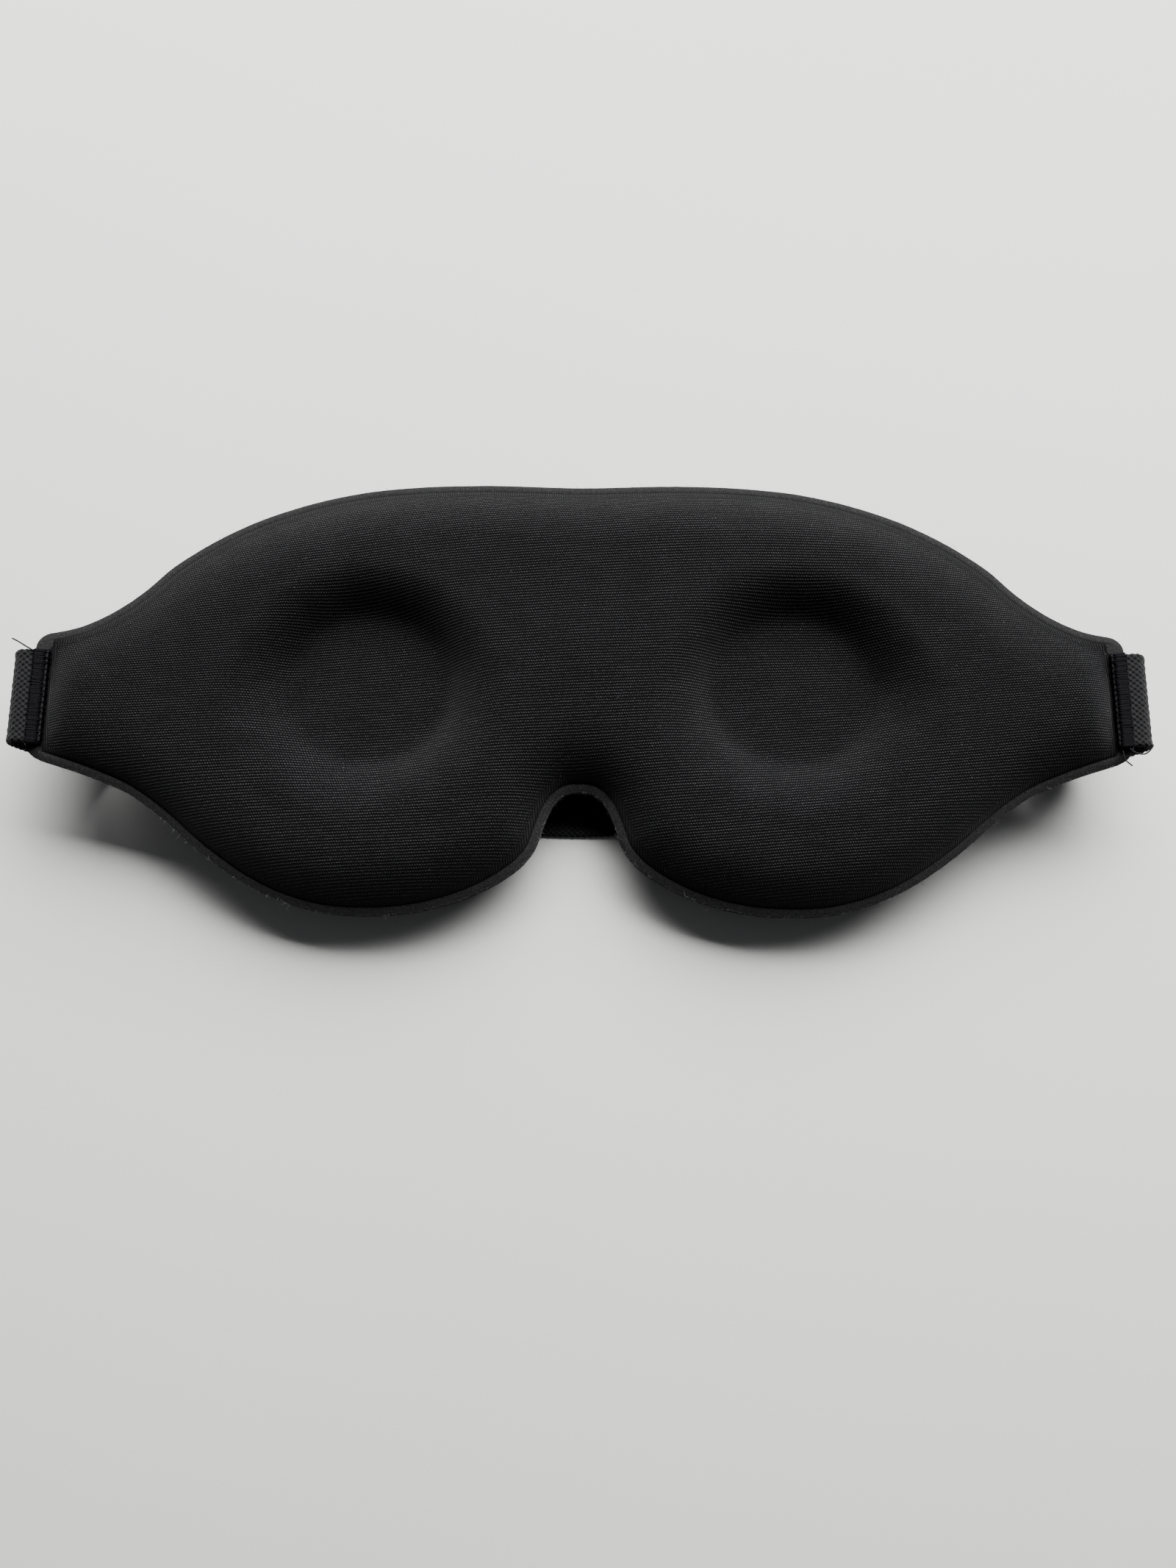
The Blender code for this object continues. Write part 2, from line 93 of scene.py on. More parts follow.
DOME_HALF_LENGTH = 29 * MM
DOME_HALF_HEIGHT = 26.5 * MM

BROW = (
    (0, 0.99), (0.20, 1), (0.33, 0.988), (0.435, 0.958), (0.55, 0.883), (0.652, 0.774),
    (0.739, 0.6355), (0.783, 0.545), (0.826, 0.43), (0.87, 0.334), (0.925, 0.246), (1, 0.181),
)
CHEEK = (
    (0, -0.455), (0.033, -0.475), (0.05, -0.517), (0.0655, -0.597), (0.08, -0.695), (0.10, -0.763),
    (0.135, -0.832), (0.174, -0.886), (0.27, -0.968), (0.383, -1), (0.50, -0.974), (0.59, -0.897),
    (0.696, -0.735), (0.77, -0.586), (0.826, -0.4935), (0.89, -0.429), (1, -0.35),
)

# The elastic webbing, the ring and the slider
WEB_WIDTH = 20 * MM
WEB_THICK = 1.0 * MM
SEAM_Y = -4.7 * MM
SAG_Y = -20.5 * MM
BEND_HALF = 30 * MM
SEWN = 3 * MM
FOLD_OUT = 4.2 * MM
DROP_IN = 16 * MM
OUT = HALF_LENGTH + FOLD_OUT
SLOPE = (SEAM_Y - SAG_Y) / (OUT - BEND_HALF / 2)
TURN = math.atan(SLOPE)
HINGE_X = OUT - 14 * MM
LOOP_REACH = 6.5 * MM
TURN_LEAD = 2 * MM
SLIDER_BACK = 21 * MM
RAISED = 2.0 * MM
RING_LOW, RING_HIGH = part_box("adjuster_ring")
RING_Z = (RING_LOW.z + RING_HIGH.z) / 2
RING_WIRE = RING_HIGH.z - RING_LOW.z
RING_LENGTH = 9 * MM
RING_TRAVEL = RING_LENGTH * math.sin(math.radians(12))
GAP = 0.3 * MM
RUN_RADIUS = (RING_WIRE + RING_TRAVEL + 2 * GAP + WEB_THICK) / 2
CENTRE_BAR = 1.4 * MM
SLIDER_BAR_Z = 4.8 * MM
CLOSED = WEB_THICK / 2 + GAP / 2
SLIDER_REACH = 41.2 * MM
SLIDER_CLEARANCE = 3 * MM
CLIMB = 10 * MM
PICK_LENGTH = 1.25 * MM
RIB_WIDTH = 1.6 * MM

# The threads
TACK_PITCH = 0.27 * MM
TACK_OVERHANG = 0.3 * MM
UNDER_PITCH = 0.30 * MM
TACK_RADIUS = 0.15 * MM
SEAM_RADIUS = 0.14 * MM
TAIL_RADIUS = 0.16 * MM
FUZZ_RADIUS = 0.022 * MM
FUZZ_COUNT = 2600
ZIGZAG_STITCHES = 18
ZIGZAG_SPAN = 0.86 * WEB_WIDTH
ZIGZAG_WIDTH = 2.0 * MM
ZIGZAG_PLACE = 0.72 * LOOP_REACH

# Repeats of the knit and the webbing, in the millimetres of their maps
WALE = 0.52
COURSE = 0.62
WEB_CELL_LENGTH = 1.25
WEB_CELL_WIDTH = 1.2
YARN = 0.26

# Colours from dark to pale
KNIT_COLOURS = ((0.0001, 0.0001, 0.0003), (0.0255, 0.0255, 0.0266))
PRESSED_COLOURS = ((0.001, 0.001, 0.0012), (0.022, 0.022, 0.022))
# Painted shade for the groove at the foot of the pad and the gap beside the bar tacks
FOOT_SHADE_COLOUR = (0.001, 0.001, 0.0013, 1)
LINT_COLOUR = (0.07, 0.07, 0.072, 1)
FOAM_COLOURS = ((0.003, 0.003, 0.0035), (0.022, 0.022, 0.0225))
WEB_COLOURS = ((0.0008, 0.0008, 0.0012), (0.0105, 0.0105, 0.0112))
TACK_COLOURS = ((0.0001, 0.0001, 0.0004), (0.0024, 0.0020, 0.0040))
SEAM_COLOURS = ((0.003, 0.003, 0.0035), (0.025, 0.025, 0.027))
TAIL_COLOURS = ((0.004, 0.0037, 0.005), (0.02, 0.019, 0.022))
PLASTIC_COLOURS = ((0.012, 0.012, 0.013), (0.024, 0.024, 0.026))
PAPER_COLOURS = ((0.50, 0.497, 0.485), (0.54, 0.538, 0.528))
FIBRE_COLOUR = (0.045, 0.045, 0.047)

rng = np.random.default_rng(11)


# ---------------------------------------------------------------- shaders


class Value:
    """A number in a shader tree. Sums written on it add Math nodes."""

    def __init__(self, tree, socket):
        self.tree = tree
        self.socket = socket

    def maths(self, operation, *terms):
        made = self.tree.add("ShaderNodeMath", {"operation": operation}, dict(enumerate(terms)))
        return made.value(0)

    def __add__(self, other):
        return self.maths("ADD", self, other)

    def __sub__(self, other):
        return self.maths("SUBTRACT", self, other)

    def __rsub__(self, other):
        return self.maths("SUBTRACT", other, self)

    def __mul__(self, other):
        return self.maths("MULTIPLY", self, other)

    def __pow__(self, other):
        return self.maths("POWER", self, other)

    def wave(self, pitch):
        """A sine from -1 to 1."""
        return self.maths("SINE", self * (2 * math.pi / pitch))

    def ripple(self, pitch):
        """A sine from 0 to 1."""
        return self.wave(pitch) * 0.5 + 0.5

    def clamp(self):
        return self.maths("MINIMUM", self.maths("MAXIMUM", self, 0), 1)

    def over(self, low, high):
        """0 below low, 1 above high."""
        return ((self - low) * (1 / (high - low))).clamp()


class Added:
    """A node that was added to a tree."""

    def __init__(self, tree, node):
        self.tree = tree
        self.node = node

    def value(self, name):
        return Value(self.tree, self.node.outputs[name])

    def out(self, name):
        return self.node.outputs[name]


class Shader:
    """One material's tree, with its Principled shader."""

    def __init__(self, name, **plain):
        self.material = bpy.data.materials.new(name)
        self.material.use_nodes = True
        self.nodes = self.material.node_tree.nodes
        self.links = self.material.node_tree.links
        self.principled = self.nodes["Principled BSDF"]
        for socket, value in plain.items():
            self.principled.inputs[socket.replace("_", " ")].default_value = value

    def put(self, socket, value):
        if isinstance(value, Value):
            value = value.socket
        if isinstance(value, bpy.types.NodeSocket):
            self.links.new(value, socket)
        else:
            socket.default_value = value

    def add(self, kind, settings=None, values=None):
        node = self.nodes.new(kind)
        for name, value in (settings or {}).items():
            setattr(node, name, value)
        for name, value in (values or {}).items():
            self.put(node.inputs[name], value)
        return Added(self, node)

    def coordinates(self):
        return self.add("ShaderNodeTexCoord").out("Object")

    def layer(self, name):
        return self.add("ShaderNodeUVMap", {"uv_map": name}).out("UV")

    def scaled(self, vector, factors):
        values = {0: vector, 1: factors}
        return self.add("ShaderNodeVectorMath", {"operation": "MULTIPLY"}, values).out(0)

    def parts(self, vector):
        split = self.add("ShaderNodeSeparateXYZ", values={"Vector": vector})
        return split.value("X"), split.value("Y"), split.value("Z")

    def noise(self, scale, vector, detail=2, roughness=0.5):
        values = {"Vector": vector, "Scale": scale, "Detail": detail, "Roughness": roughness}
        return self.add("ShaderNodeTexNoise", values=values).value("Fac")

    def dots(self, scale, vector):
        values = {"Vector": vector, "Scale": scale}
        return self.add("ShaderNodeTexVoronoi", values=values).value("Distance")

    def blend_colours(self, share, low, high):
        values = {"Factor": share, 6: low, 7: high}
        return self.add("ShaderNodeMix", {"data_type": "RGBA"}, values).out(2)

    def colours(self, share, low, high):
        return self.blend_colours(share, (*low, 1), (*high, 1))

    def feed(self, **inputs):
        for name, value in inputs.items():
            self.put(self.principled.inputs[name.replace("_", " ")], value)
        return self.material

    def bump(self, height, distance, strength):
        values = {"Height": height, "Distance": distance, "Strength": strength}
        return self.add("ShaderNodeBump", values=values).out("Normal")


def knit_material(name, light):
    """Matt jersey: rows of pale loop heads on black, drawn into upright lines on the pad's steep
    wall, and pressed flat, paler and speckled on the flange, with painted shade along the groove at
    the foot of the pad."""
    shader = Shader(name, Sheen_Weight=0.05, Sheen_Roughness=0.5, Specular_IOR_Level=0.03)
    weave = shader.layer("Weave")
    zone = shader.layer("Zone")
    column, row, _ = shader.parts(weave)
    edge, steep, _ = shader.parts(zone)
    place = shader.coordinates()
    drift = shader.noise(0.9, weave, 2, 0.6) - 0.5
    wale = (column + drift * 0.35).ripple(WALE)
    loop = (column + row * 0.42 + drift * 0.4).ripple(WALE)
    course = (row + drift * 0.30).ripple(COURSE)
    stretched = (steep - 0.42).over(0, 0.25)
    heads = (loop * 0.6 + 0.4) * course
    lines = wale * 0.55 + 0.10
    loops = heads * (1 - stretched) + lines * stretched
    patchy = shader.noise(0.16, weave, 3, 0.55)
    streak = shader.noise(1.0, shader.scaled(weave, (0.12, 1.6, 1)), 2)
    uneven = patchy * 0.4 + streak * 0.4 + shader.noise(1.6, weave, 2, 0.8) * 1.2 - 0.02
    flange = 1 - edge.over(1.66, 1.86)
    # painted shade: a dark band along the groove at the foot of the pad
    foot = edge.over(1.62, 1.80) * (1 - edge.over(1.95, 2.35))
    speck = shader.noise(2.6, weave, 3, 0.75)
    grain = shader.dots(3.2, weave)
    spots = 1 - shader.dots(0.55, weave).over(0.02, 0.075)
    lint = spots * shader.noise(0.33, weave, 1).over(0.54, 0.60)
    dark, pale = KNIT_COLOURS
    pale = tuple(part * light for part in pale)
    shade = shader.colours(((loops * uneven * 1.1) ** 3.2).clamp(), dark, pale)
    pressed = shader.colours((speck * 1.5 + grain * 0.5 - 0.55).clamp(), *PRESSED_COLOURS)
    colour = shader.blend_colours(flange, shade, pressed)
    # lay the painted shade over the foot of the pad
    colour = shader.blend_colours(foot * 0.8, colour, FOOT_SHADE_COLOUR)
    colour = shader.blend_colours((lint * 0.8).clamp(), colour, LINT_COLOUR)
    rough = patchy * 0.14 + 0.80
    height = loops * (1 - flange) + speck * 0.5 * flange + shader.noise(2600, place, 2) * 0.3
    normal = shader.bump(height, 0.14 * MM, 0.8)
    return shader.feed(Base_Color=colour, Roughness=rough, Normal=normal)


def foam_material():
    """Closed-cell foam, seen on its cut edge."""
    shader = Shader("cut_foam", Specular_IOR_Level=0.2)
    place = shader.coordinates()
    cells = shader.dots(3200, place)
    grain = shader.noise(900, place, 3, 0.7)
    colour = shader.colours((cells * 0.7 + grain * 0.5 - 0.2).clamp(), *FOAM_COLOURS)
    normal = shader.bump(cells + grain * 0.4, 0.12 * MM, 0.9)
    return shader.feed(Base_Color=colour, Roughness=grain * 0.1 + 0.88, Normal=normal)


def webbing_material():
    """Covered elastic: pale wavy yarns round a staggered lattice of dark gaps."""
    plain = {"Sheen_Weight": 0.05, "Sheen_Roughness": 0.4, "Specular_IOR_Level": 0.1}
    shader = Shader("elastic_webbing", **plain)
    place = shader.layer("Weave")
    along, across, _ = shader.parts(place)
    wander = shader.noise(0.25, place, 2) * 0.5
    lattice = (along + wander).wave(WEB_CELL_LENGTH) * across.wave(WEB_CELL_WIDTH)
    yarn = (across + along * 0.7).ripple(YARN)
    weave = (lattice * 0.8 + 0.7).clamp()
    wear = shader.noise(0.4, place, 3, 0.6)
    share = (weave * (yarn * 0.4 + 0.6) * (wear * 0.8 + 0.6)).clamp()
    colour = shader.colours(share, *WEB_COLOURS)
    normal = shader.bump(weave + yarn * 0.2, 0.25 * MM, 0.9)
    return shader.feed(Base_Color=colour, Roughness=0.9 - weave * 0.12, Normal=normal)


def thread_material(name, dark, pale):
    """Twisted sewing thread with a slight lustre."""
    shader = Shader(name, Specular_IOR_Level=0.06)
    place = shader.coordinates()
    x, y, z = shader.parts(place)
    twist = (x * 1.4 + y * 3 + z).ripple(0.5 * MM)
    shade = shader.noise(900, place, 2)
    colour = shader.colours((twist * 0.45 + shade * 0.6 - 0.1).clamp(), dark, pale)
    normal = shader.bump(twist, 0.05 * MM, 0.7)
    return shader.feed(Base_Color=colour, Roughness=0.62 - twist * 0.18, Normal=normal)


def plastic_material():
    """Moulded black plastic with a fine spark-eroded grain and a patchy roughness."""
    shader = Shader("moulded_plastic", Specular_IOR_Level=0.5)
    place = shader.coordinates()
    grain = shader.noise(4200, place, 3, 0.65)
    smudge = shader.noise(120, place, 2)
    colour = shader.colours(smudge, *PLASTIC_COLOURS)
    normal = shader.bump(grain, 0.03 * MM, 0.5)
    rough = grain * 0.14 + smudge * 0.12 + 0.34
    return shader.feed(Base_Color=colour, Roughness=rough, Normal=normal)


def fibre_material(name, colour):
    """Loose fibres, a little paler than the cloth."""
    shader = Shader(name, Sheen_Weight=0.2, Sheen_Roughness=0.5, Specular_IOR_Level=0.3)
    shade = shader.noise(800, shader.coordinates(), 1).over(0.3, 0.7)
    pale = tuple(2.6 * part for part in colour)
    return shader.feed(Base_Color=shader.colours(shade, colour, pale), Roughness=shade * 0.1 + 0.8)


def table_material():
    """Pale matt paper."""
    shader = Shader("pale_table", Specular_IOR_Level=0.1)
    place = shader.coordinates()
    fibres = shader.noise(900, place, 4, 0.6)
    broad = shader.noise(9, place, 2)
    colour = shader.colours((fibres * 0.4 + broad * 0.6).clamp(), *PAPER_COLOURS)
    normal = shader.bump(fibres, 0.05 * MM, 0.3)
    return shader.feed(Base_Color=colour, Roughness=fibres * 0.1 + 0.8, Normal=normal)


# ---------------------------------------------------------------- shape helpers


def smooth_step(t):
    t = np.clip(t, 0, 1)
    return t * t * (3 - 2 * t)


def curve_through(points, at):
    """A cubic through the points, level at the first, that bends evenly through the others."""
    x, y = np.array(points, float).T
    step = np.diff(x)
    rise = np.diff(y) / step
    slope = np.zeros(len(x))
    slope[1:-1] = (step[1:] * rise[:-1] + step[:-1] * rise[1:]) / (step[1:] + step[:-1])
    slope[-1] = rise[-1]
    i = np.clip(np.searchsorted(x, at, side="right") - 1, 0, len(step) - 1)
    t = (at - x[i]) / step[i]
    keep = (1 + 2 * t) * (1 - t) ** 2 * y[i] + t**2 * (3 - 2 * t) * y[i + 1]
    return keep + step[i] * (t * (1 - t) ** 2 * slope[i] - t**2 * (1 - t) * slope[i + 1])


def corner_inset(x):
    """How far the rounded corner of the wing's end cuts in from the outline."""
    over = np.clip(np.abs(x) - (HALF_LENGTH - WING_CORNER), 0, WING_CORNER)
    return WING_CORNER - np.sqrt(WING_CORNER**2 - over**2)


def brow_edge(x):
    return HALF_HEIGHT * curve_through(BROW, np.abs(x) / HALF_LENGTH) - corner_inset(x)


def cheek_edge(x):
    return HALF_HEIGHT * curve_through(CHEEK, np.abs(x) / HALF_LENGTH) + corner_inset(x)


def lean(edge, x):
    """How much longer a width measured along Y is than one square to the edge."""
    d = 0.1 * MM
    inside = np.clip(np.abs(x), d, HALF_LENGTH - WING_CORNER - d)
    slope = (edge(inside + d) - edge(inside - d)) / (2 * d)
    return np.minimum(np.sqrt(1 + slope**2), 3)


def curl(x):
    """How far the wings rise towards their ends."""
    return WING_CURL * (np.clip(np.abs(x) - CURL_FROM, 0, None) / (HALF_LENGTH - CURL_FROM)) ** 2


def evenly_spaced(line, count):
    """A flat line again with this many points, evenly spaced."""
    run = np.concatenate([[0], np.cumsum(np.hypot(*np.diff(line, axis=0).T))])
    at = np.linspace(0, run[-1], count)
    return np.stack([np.interp(at, run, line[:, 0]), np.interp(at, run, line[:, 1])], axis=1)


def edge_line(edge, count):
    """Points evenly spaced along one edge from left to right, and the directions square to it."""
    x = HALF_LENGTH * np.sin(np.linspace(-math.pi / 2, math.pi / 2, 6001))
    points = evenly_spaced(np.stack([x, edge(x)], axis=1), count)
    ahead = np.gradient(points, axis=0)
    ahead /= np.linalg.norm(ahead, axis=1)[:, None]
    return points, np.stack([-ahead[:, 1], ahead[:, 0]], axis=1)


BROW_LINE = edge_line(brow_edge, 1500)
CHEEK_LINE = edge_line(cheek_edge, 1900)


def distance_to(line, x, y):
    """Distance from each place to the line."""
    points, square = line
    tree = KDTree(len(points))
    for i, (px, py) in enumerate(points):
        tree.insert((px, py, 0), i)
    tree.balance()
    nearest = np.array([tree.find((px, py, 0))[1] for px, py in zip(x.ravel(), y.ravel())])
    away = np.stack([x.ravel(), y.ravel()], axis=1) - points[nearest]
    straight = np.hypot(*away.T)
    near = np.abs((away * square[nearest]).sum(axis=1))
    inner = (nearest > 2) & (nearest < len(points) - 3) & (straight < 3 * MM)
    return np.where(inner, near, straight).reshape(x.shape)


def wobble(x, y, size, seed):
    """Smooth random height from -1 to 1, with bumps about this size."""
    points = zip((x / size).ravel(), (y / size).ravel())
    return np.array([noise.noise((px, py, seed)) for px, py in points]).reshape(x.shape)


def band_steps(fine):
    """Distances from the edge for the rows of the flange and the pad's wall."""
    return np.concatenate([
        np.linspace(0, FLANGE - 0.35 * MM, max(3, int(1.5 * MM / fine))),
        FLANGE + np.linspace(-0.2, 0.4, 5) * MM,
        FLANGE + 0.4 * MM + 9 * MM * np.linspace(0, 1, int(9 * MM / fine))[1:] ** 1.2,
    ])


def mask_grid(fine):
    """Places of a grid that follows the outline, closest at the edges, nose and wing ends."""
    pad_end = HALF_LENGTH - WING_FLANGE - END_WALL
    nose = 22 * MM
    half = np.concatenate([
        np.arange(0, nose, 0.6 * fine),
        np.arange(nose, pad_end, 1.25 * fine),
        np.linspace(pad_end, HALF_LENGTH - WING_CORNER / 2, int(10 * MM / (0.7 * fine))),
        HALF_LENGTH - WING_CORNER / 2 * (1 - np.sin(np.linspace(0, math.pi / 2, 7)[1:])),
    ])
    x = np.concatenate([-half[:0:-1], half])
    band = band_steps(fine)
    low, high = cheek_edge(x), brow_edge(x)
    most = (high - low) * 0.40
    scale_low = np.minimum(lean(cheek_edge, x), most / band[-1])
    scale_high = np.minimum(lean(brow_edge, x), most / band[-1])
    up = band[:, None] * scale_low
    down = band[:, None] * scale_high
    count = int(0.068 / (1.3 * fine))
    shares = np.linspace(0, 1, count + 2)[1:-1, None]
    middle = (low + up[-1]) * (1 - shares) + (high - down[-1]) * shares
    y = np.concatenate([low + up, middle, (high - down)[::-1]]).T
    return np.repeat(x[:, None], y.shape[1], axis=1), y


def add_object(name, points, faces, made_of=None):
    mesh = bpy.data.meshes.new(name)
    mesh.from_pydata(np.asarray(points).reshape(-1, 3).tolist(), [], faces)
    if made_of:
        mesh.materials.append(made_of)
    mesh.shade_smooth()
    made = bpy.data.objects.new(name, mesh)
    bpy.context.scene.collection.objects.link(made)
    return made


def grid_quads(index):
    """A face for each cell of a grid of point numbers."""
    corners = [index[:-1, :-1], index[1:, :-1], index[1:, 1:], index[:-1, 1:]]
    return np.stack(corners, axis=-1).reshape(-1, 4)


def band_quads(near, far):
    """Faces between each ring of point numbers in near and its neighbour in far."""
    corners = [near, far, np.roll(far, -1, 1), np.roll(near, -1, 1)]
    return np.stack(corners, axis=-1).reshape(-1, 4)


def shell(name, x, y, top, bottom, made_of):
    """A closed sheet over the grid between two heights."""
    count = x.size
    above = np.stack([x, y, top], axis=-1).reshape(-1, 3)
    below = np.stack([x, y, bottom], axis=-1).reshape(-1, 3)
    index = np.arange(count).reshape(x.shape)
    quads = grid_quads(index)
    rim = np.concatenate([index[:, 0], index[-1, 1:], index[-2::-1, -1], index[0, -2:0:-1]])
    beyond = np.roll(rim, -1)
    sides = np.stack([beyond, rim, rim + count, beyond + count], axis=-1)
    faces = np.concatenate([quads, quads[:, ::-1] + count, sides]).tolist()
    made = add_object(name, np.concatenate([above, below]), faces, made_of)
    made.data.set_sharp_from_angle(angle=math.radians(60))
    return made


# ---------------------------------------------------------------- the moulded mask


class Place:
    """Grid places with their distances to the two long edges and the wing ends."""

    def __init__(self, x, y):
        self.x, self.y = x, y
        self.to_brow = distance_to(BROW_LINE, x, y)
        self.to_cheek = distance_to(CHEEK_LINE, x, y)
        self.to_edge = np.minimum(self.to_brow, self.to_cheek)
        self.to_end = HALF_LENGTH - np.abs(x)

    def wall_shares(self):
        """How far up the pad each place stands on the brow's, cheeks' and wing ends' walls."""
        nose = NOSE_WALL * np.exp(-((self.x / NOSE_SPREAD) ** 2))
        return (
            rounded_rise((self.to_brow - FLANGE) / WALL, BROW_POWER),
            rounded_rise((self.to_cheek - FLANGE) / (WALL + nose), CHEEK_POWER),
            rounded_rise((self.to_end - WING_FLANGE) / END_WALL, BROW_POWER),
        )


def rounded_rise(t, power):
    """0 at the foot of the pad, steep at first, then rounding over to 1."""
    return 1 - (1 - np.clip(t, 0, 1)) ** power


def hollow_share(x, y):
    """1 on the floor of the eye hollow, 0 on the pad, with a steep foot and a rounded lip."""
    along = (np.abs(x) - EYE_X) / FLOOR_HALF_LENGTH
    across = (y - EYE_Y) / FLOOR_HALF_HEIGHT
    power = 2 - 0.22 * smooth_step(along)
    out = (np.abs(along) ** power + np.abs(across) ** power) ** (1 / power) - 1
    out = (out + np.sqrt(out**2 + HOLLOW_ROUNDING**2)) / 2
    slope = LOWER_SLOPE + (UPPER_SLOPE - LOWER_SLOPE) * smooth_step(0.5 + across / 1.2)
    return (1 - np.clip(out / slope, 0, 1)) ** 2


def dome_share(x, y):
    """1 at the top of the front's dome, 0 beyond it."""
    along = (np.abs(x) - EYE_X) / DOME_HALF_LENGTH
    across = (y - DOME_Y) / DOME_HALF_HEIGHT
    return smooth_step((1 - np.hypot(along, across)) / 0.95)


def droop(place):
    """The pressed flange bends down towards its cut edge."""
    return DROOP * np.clip(1 - place.to_edge / FLANGE, 0, 1)


def groove_share(place):
    """1 along the foot of the pad, 0 away from it."""
    return np.exp(-(((place.to_edge - FLANGE) / GROOVE_WIDTH) ** 2))


def face_height(place):
    x, y = place.x, place.y
    wing = smooth_step((np.abs(x) - EYE_X) / (HALF_LENGTH - EYE_X))
    share = np.prod(place.wall_shares(), axis=0)
    pad = (PAD_RISE + (WING_PAD_RISE - PAD_RISE) * wing) * share
    from_bridge = (x / BRIDGE_SPREAD) ** 2 + ((y - BRIDGE_Y) / BRIDGE_SPREAD) ** 2
    bridge = BRIDGE_RISE * np.exp(-from_bridge)
    hollow = RECESS_DEPTH * hollow_share(x, y)
    uneven = wobble(x, y, 16 * MM, 3.1) * 0.30 * MM * share
    pressed = wobble(x, y, 2.2 * MM, 8.4) * 0.04 * MM
    groove = 0.20 * MM * groove_share(place)
    rolled = 0.16 * MM * np.exp(-place.to_edge / (0.18 * MM))
    moulded = BASE + PLY_STACK + curl(x) + pad + bridge - hollow
    return moulded + uneven + pressed - groove - rolled - droop(place)


def front_height(place):
    x, y = place.x, place.y
    share = np.prod(place.wall_shares(), axis=0)
    dome = (DOME_DEPTH - BELLY) * dome_share(x, y)
    uneven = wobble(x, y, 14 * MM, 6.7) * 0.10 * MM * share * (1 - dome / DOME_DEPTH)
    groove = 0.14 * MM * groove_share(place)
    return BASE + curl(x) - BELLY * share - dome + uneven + groove - droop(place)


def relaxed(place, z, most):
    """The cloth's own small moves over the foam, from a cloth simulation of a coarser net."""
    x, y = place.x, place.y
    cols = np.unique(np.linspace(0, x.shape[0] - 1, 130).astype(int))
    rows = np.unique(np.linspace(0, x.shape[1] - 1, 50).astype(int))
    net = np.ix_(cols, rows)
    points = np.stack([x[net], y[net], z[net]], axis=-1)
    index = np.arange(points[..., 0].size).reshape(points.shape[:2])
    cloth = add_object("cloth_net", points, grid_quads(index).tolist())
    held = cloth.vertex_groups.new(name="held")
    for i, inside in enumerate(from_flange(place)[net].ravel()):
        held.add([i], 1.0 if inside < 0.4 * MM else 0.3, "REPLACE")
    settings = cloth.modifiers.new("cloth", "CLOTH").settings
    settings.quality = 5
    settings.mass = 0.12
    settings.tension_stiffness = 20
    settings.compression_stiffness = 15
    settings.shear_stiffness = 6
    settings.bending_stiffness = 1.5
    settings.vertex_group_mass = "held"
    settings.pin_stiffness = 0.5
    settings.shrink_min = 0.002
    settings.effector_weights.gravity = 0
    settings.use_pressure = True
    settings.uniform_pressure_force = 0.4
    scene = bpy.context.scene
    for step in range(1, 16):
        scene.frame_set(step)
    graph = bpy.context.evaluated_depsgraph_get()
    settled = cloth.evaluated_get(graph).to_mesh()
    found = np.empty(len(settled.vertices) * 3)
    settled.vertices.foreach_get("co", found)
    move = found.reshape(points.shape) - points
    bpy.data.objects.remove(cloth)
    scene.frame_set(1)
    size = np.linalg.norm(move, axis=-1, keepdims=True)
    move *= np.minimum(1, most / np.maximum(size, 1e-9))
    for _ in range(3):
        move[1:-1] = (move[:-2] + 2 * move[1:-1] + move[2:]) / 4
        move[:, 1:-1] = (move[:, :-2] + 2 * move[:, 1:-1] + move[:, 2:]) / 4
    full = np.empty((*x.shape, 3))
    all_cols, all_rows = np.arange(x.shape[0]), np.arange(x.shape[1])
    for axis in range(3):
        half = np.array([np.interp(all_cols, cols, line) for line in move[..., axis].T])
        full[..., axis] = np.array([np.interp(all_rows, rows, line) for line in half.T])
    return full * pad_share(place)[..., None]


def from_flange(place):
    """Distance in from the foot of the pad, below 0 on the flange."""
    return np.minimum(place.to_edge - FLANGE, place.to_end - WING_FLANGE)


def pad_share(place):
    """0 on the flange, 1 from 2 mm inside the pad."""
    return smooth_step(from_flange(place) / (2 * MM))


def map_layer(made, name, pairs):
    """A UV map with one pair of numbers for each point."""
    corners = np.empty(len(made.data.loops), int)
    made.data.loops.foreach_get("vertex_index", corners)
    layer = made.data.uv_layers.new(name=name)
    layer.data.foreach_set("uv", pairs[corners].ravel())


def map_knit(made, place):
    """The knit's rows in millimetres, and the cloth's zones: distance from the edge, and how steep.
    Under the bar tacks the distance is set to just past the flange, into the band of painted shade
    at the pad's foot."""
    x, y = place.x / MM, place.y / MM
    tilt = 0.075
    bow = 0.0007 * smooth_step((y + 20) / 50)
    wander = 0.12 * np.sin(x / 9 + y / 23) + 0.3 * np.sin(x / 31 - y / 17)
    row = y - tilt * x + bow * x**2 + wander
    column = x + tilt * y + 0.2 * np.sin(y / 11 + x / 37)
    steep = (1 - np.min(place.wall_shares(), axis=0)) ** 2
    weave = np.stack([column, row], axis=-1).reshape(-1, 2)
    edge = np.minimum(place.to_edge / MM, (place.to_end - WING_FLANGE + FLANGE) / MM)
    # painted shade: the cloth under and beside the bar tacks takes the foot's dark band
    sewn = (place.to_end < WING_FLANGE) & (np.abs(place.y - SEAM_Y) < WEB_WIDTH / 2 + 0.8 * MM)
    edge = np.where(sewn, FLANGE / MM + 0.1, edge)
    zone = np.stack([edge, steep], axis=-1).reshape(-1, 2)
    map_layer(made, "Weave", np.concatenate([weave, weave]))
    map_layer(made, "Zone", np.concatenate([zone, zone]))


